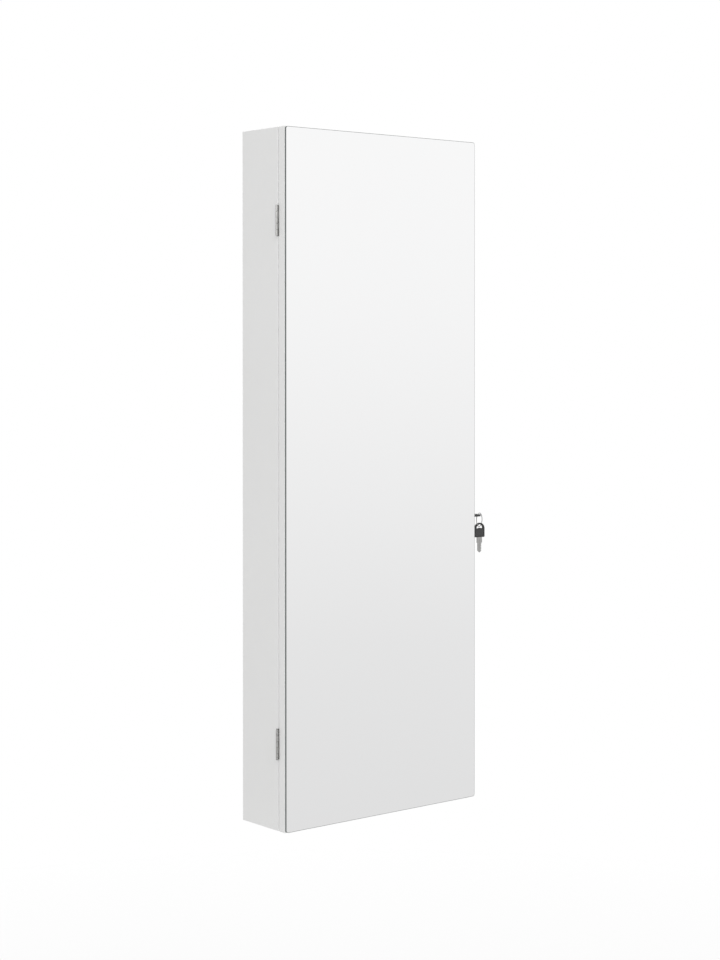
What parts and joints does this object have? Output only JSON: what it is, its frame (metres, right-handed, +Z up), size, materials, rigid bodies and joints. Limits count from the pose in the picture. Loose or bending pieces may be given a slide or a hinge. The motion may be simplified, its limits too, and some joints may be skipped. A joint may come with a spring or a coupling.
{
  "type": "jewelry mirror cabinet",
  "caption": "Slim white wall-hung jewelry cabinet with a full-length mirror door on side hinges, a cam lock with keys, and velvet-lined storage inside.",
  "frame": {"origin": "centre of the back face, which lies flat on the wall", "axes": "+X to the right across the front, +Y back towards the wall, +Z up; the mirror faces -Y"},
  "size_m": [0.4309, 0.112, 1.06],
  "materials": {
    "white_paint": "satin white lacquer on fibreboard",
    "mirror": "silvered float glass with ground edges",
    "nickel": "nickel plate",
    "steel": "zinc-plated steel",
    "black_plastic": "moulded, fine grain",
    "white_plastic": "moulded",
    "black_velvet": "short-pile velvet",
    "clear_rubber": "soft, translucent",
    "ferrite": "pressed ceramic magnet"
  },
  "bodies": {
    "cabinet": {"side_panel_left": "white_paint", "side_panel_right": "white_paint", "top_panel": "white_paint", "bottom_panel": "white_paint", "back_panel": "white_paint", "hanging_rail": "white_paint", "back_lining": "black_velvet", "wall_hanger_left": "steel", "wall_hanger_right": "steel", "hinge_upper_cabinet_leaf": "nickel", "hinge_upper_pin": "nickel", "hinge_lower_cabinet_leaf": "nickel", "hinge_lower_pin": "nickel", "catch_housing": "white_plastic", "rod_socket_left": "white_plastic", "rod_socket_right": "white_plastic", "catch_magnet": "ferrite", "lock_housing": "nickel", "lock_nut": "nickel", "necklace_hook_bar": "nickel", "upper_shelf": "white_paint", "middle_shelf": "white_paint", "lower_shelf_1": "white_paint", "lower_shelf_2": "white_paint", "lower_shelf_3": "white_paint", "shelf_rail_1": "white_paint", "shelf_rail_2": "white_paint", "shelf_rail_3": "white_paint", "centre_divider": "white_paint", "ring_tray": "white_paint", "earring_upright_left": "white_paint", "earring_upright_right": "white_paint", "earring_bar_1": "white_paint", "earring_bar_2": "white_paint", "earring_bar_3": "white_paint", "earring_bar_4": "white_paint", "ring_roll_1": "black_velvet", "ring_roll_2": "black_velvet", "ring_roll_3": "black_velvet", "ring_roll_4": "black_velvet", "ring_roll_5": "black_velvet", "ring_roll_6": "black_velvet", "bracelet_rod": "black_velvet"},
    "door": {"door_panel": "white_paint", "mirror_glass": "mirror", "hinge_upper_door_leaf": "nickel", "hinge_lower_door_leaf": "nickel", "door_bumper_top": "clear_rubber", "door_bumper_bottom": "clear_rubber", "strike_plate": "steel", "catch_plate": "steel"},
    "lock_core": {"lock_plug": "nickel", "lock_cam": "steel", "cam_screw": "steel"},
    "key": {"key_blade": "nickel", "key_bow": "black_plastic"},
    "ring": {"key_ring": "nickel"},
    "spare_key": {"spare_key_blade": "nickel", "spare_key_bow": "black_plastic"}
  },
  "joints": [
    {"name": "door_hinge", "type": "hinge", "parent": "cabinet", "child": "door", "pos_m": [-0.1926, -0.0935, 0], "axis": [0, 0, -1], "range_deg": [0, 180]},
    {"name": "lock_turn", "type": "hinge", "parent": "cabinet", "child": "lock_core", "pos_m": [0.19, -0.083, -0.077], "axis": [1, 0, 0], "range_deg": [0, 90]},
    {"name": "key_withdraw", "type": "slide", "parent": "lock_core", "child": "key", "axis": [1, 0, 0], "range_m": [0, 0.018]},
    {"name": "ring_swing", "type": "hinge", "parent": "key", "child": "ring", "pos_m": [0.22575, -0.083, -0.077], "axis": [0.9171, 0.3987, 0], "range_deg": [-15, 15]},
    {"name": "spare_key_swing", "type": "hinge", "parent": "ring", "child": "spare_key", "pos_m": [0.22575, -0.083, -0.09601], "axis": [0.9171, 0.3987, 0], "range_deg": [-20, 20]}
  ]
}
